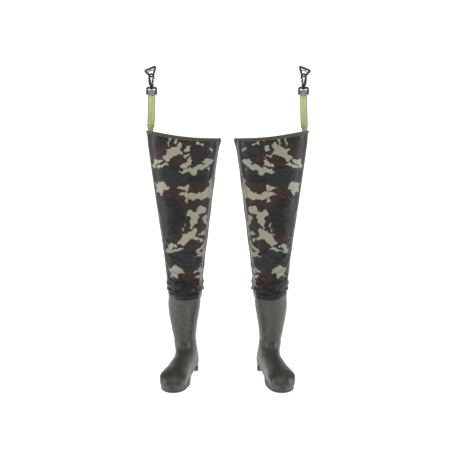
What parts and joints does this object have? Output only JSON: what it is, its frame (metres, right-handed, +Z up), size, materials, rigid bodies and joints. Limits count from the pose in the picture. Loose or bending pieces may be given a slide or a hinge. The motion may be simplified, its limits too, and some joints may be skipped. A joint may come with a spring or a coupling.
{
  "type": "hip waders",
  "caption": "Pair of camouflage hip waders with moulded rubber boots, tapered coated legs, and outer belt straps ending in swivel snap hooks and belt rings.",
  "frame": {"origin": "on the floor under the middle of the pair's bounding box", "axes": "+Z up, toes towards -Y, +X towards the wearer's left"},
  "size_m": [0.5822, 0.3092, 1.0967],
  "materials": {
    "boot_pvc": "satin moulded PVC, olive grey",
    "knit_lining": "knitted lining, mid grey",
    "insole_foam": "felt-covered foam, dark grey",
    "sole_rubber": "matte cleated rubber, near black",
    "camouflage_fabric": "semi-gloss PVC-coated fabric, camouflage in sand, green, brown and near black",
    "hem_binding": "matte woven binding tape, dark olive",
    "grey_webbing": "woven webbing, grey",
    "lime_webbing": "woven webbing, lime green with grey edges",
    "black_plastic": "moulded acetal, black, satin gloss",
    "steel_pin": "plain steel pin",
    "spring_steel": "tempered steel leaf"
  },
  "bodies": {
    "right_wader": {"right_boot_upper": "boot_pvc", "right_boot_lining": "knit_lining", "right_insole": "insole_foam", "right_outsole": "sole_rubber", "right_weld_band": "camouflage_fabric", "right_leg_shin": "camouflage_fabric", "right_leg_knee": "camouflage_fabric"},
    "right_thigh": {"right_leg_thigh": "camouflage_fabric", "right_hem_band": "hem_binding", "right_strap_anchor": "grey_webbing", "right_strap_patch": "camouflage_fabric"},
    "right_strap": {"right_strap": "lime_webbing"},
    "right_loop": {"right_strap_loop": "black_plastic"},
    "right_hook": {"right_hook_body": "black_plastic", "right_gate_pin": "steel_pin", "right_gate_spring": "spring_steel"},
    "right_gate": {"right_gate": "black_plastic"},
    "right_ring": {"right_belt_ring": "black_plastic"},
    "left_wader": {"left_boot_upper": "boot_pvc", "left_boot_lining": "knit_lining", "left_insole": "insole_foam", "left_outsole": "sole_rubber", "left_weld_band": "camouflage_fabric", "left_leg_shin": "camouflage_fabric", "left_leg_knee": "camouflage_fabric"},
    "left_thigh": {"left_leg_thigh": "camouflage_fabric", "left_hem_band": "hem_binding", "left_strap_anchor": "grey_webbing", "left_strap_patch": "camouflage_fabric"},
    "left_strap": {"left_strap": "lime_webbing"},
    "left_loop": {"left_strap_loop": "black_plastic"},
    "left_hook": {"left_hook_body": "black_plastic", "left_gate_pin": "steel_pin", "left_gate_spring": "spring_steel"},
    "left_gate": {"left_gate": "black_plastic"},
    "left_ring": {"left_belt_ring": "black_plastic"}
  },
  "joints": [
    {"name": "pair_apart", "type": "slide", "parent": "right_wader", "child": "left_wader", "axis": [1, 0, 0], "range_m": [0, 0.3]},
    {"name": "right_knee_bend", "type": "hinge", "parent": "right_wader", "child": "right_thigh", "pos_m": [-0.151, 0.07929, 0.49], "axis": [-1, 0, 0], "range_deg": [0, 80], "deforming": ["right_leg_knee"]},
    {"name": "right_strap_fold", "type": "hinge", "parent": "right_thigh", "child": "right_strap", "pos_m": [-0.26559, 0.11502, 0.86976], "axis": [0.6335, 0.7738, 0], "range_deg": [-110, 75], "stiffness_Nm_per_rad": 0.08},
    {"name": "right_loop_tilt", "type": "hinge", "parent": "right_strap", "child": "right_loop", "pos_m": [-0.26559, 0.11427, 0.99476], "axis": [-1, 0, 0], "range_deg": [-90, 90]},
    {"name": "right_hook_swivel", "type": "hinge", "parent": "right_loop", "child": "right_hook", "pos_m": [-0.26559, 0.11427, 1.013], "axis": [0, 0, 1], "continuous": true},
    {"name": "right_gate_open", "type": "hinge", "parent": "right_hook", "child": "right_gate", "pos_m": [-0.26375, 0.11581, 1.02476], "axis": [0.6428, -0.766, 0], "range_deg": [0, 15], "stiffness_Nm_per_rad": 0.25, "springref_deg": -5.73, "deforming": ["right_gate_spring"]},
    {"name": "right_ring_swing", "type": "hinge", "parent": "right_hook", "child": "right_ring", "pos_m": [-0.26559, 0.11427, 1.06076], "axis": [0.766, 0.6428, 0], "range_deg": [-90, 90]},
    {"name": "left_knee_bend", "type": "hinge", "parent": "left_wader", "child": "left_thigh", "pos_m": [0.151, 0.07929, 0.49], "axis": [-1, 0, 0], "range_deg": [0, 80], "deforming": ["left_leg_knee"]},
    {"name": "left_strap_fold", "type": "hinge", "parent": "left_thigh", "child": "left_strap", "pos_m": [0.26559, 0.11502, 0.86976], "axis": [0.6335, -0.7738, 0], "range_deg": [-110, 75], "stiffness_Nm_per_rad": 0.08},
    {"name": "left_loop_tilt", "type": "hinge", "parent": "left_strap", "child": "left_loop", "pos_m": [0.26559, 0.11427, 0.99476], "axis": [-1, 0, 0], "range_deg": [-90, 90]},
    {"name": "left_hook_swivel", "type": "hinge", "parent": "left_loop", "child": "left_hook", "pos_m": [0.26559, 0.11427, 1.013], "axis": [0, 0, -1], "continuous": true},
    {"name": "left_gate_open", "type": "hinge", "parent": "left_hook", "child": "left_gate", "pos_m": [0.26375, 0.11581, 1.02476], "axis": [0.6428, 0.766, 0], "range_deg": [0, 15], "stiffness_Nm_per_rad": 0.25, "springref_deg": -5.73, "deforming": ["left_gate_spring"]},
    {"name": "left_ring_swing", "type": "hinge", "parent": "left_hook", "child": "left_ring", "pos_m": [0.26559, 0.11427, 1.06076], "axis": [0.766, -0.6428, 0], "range_deg": [-90, 90]}
  ]
}
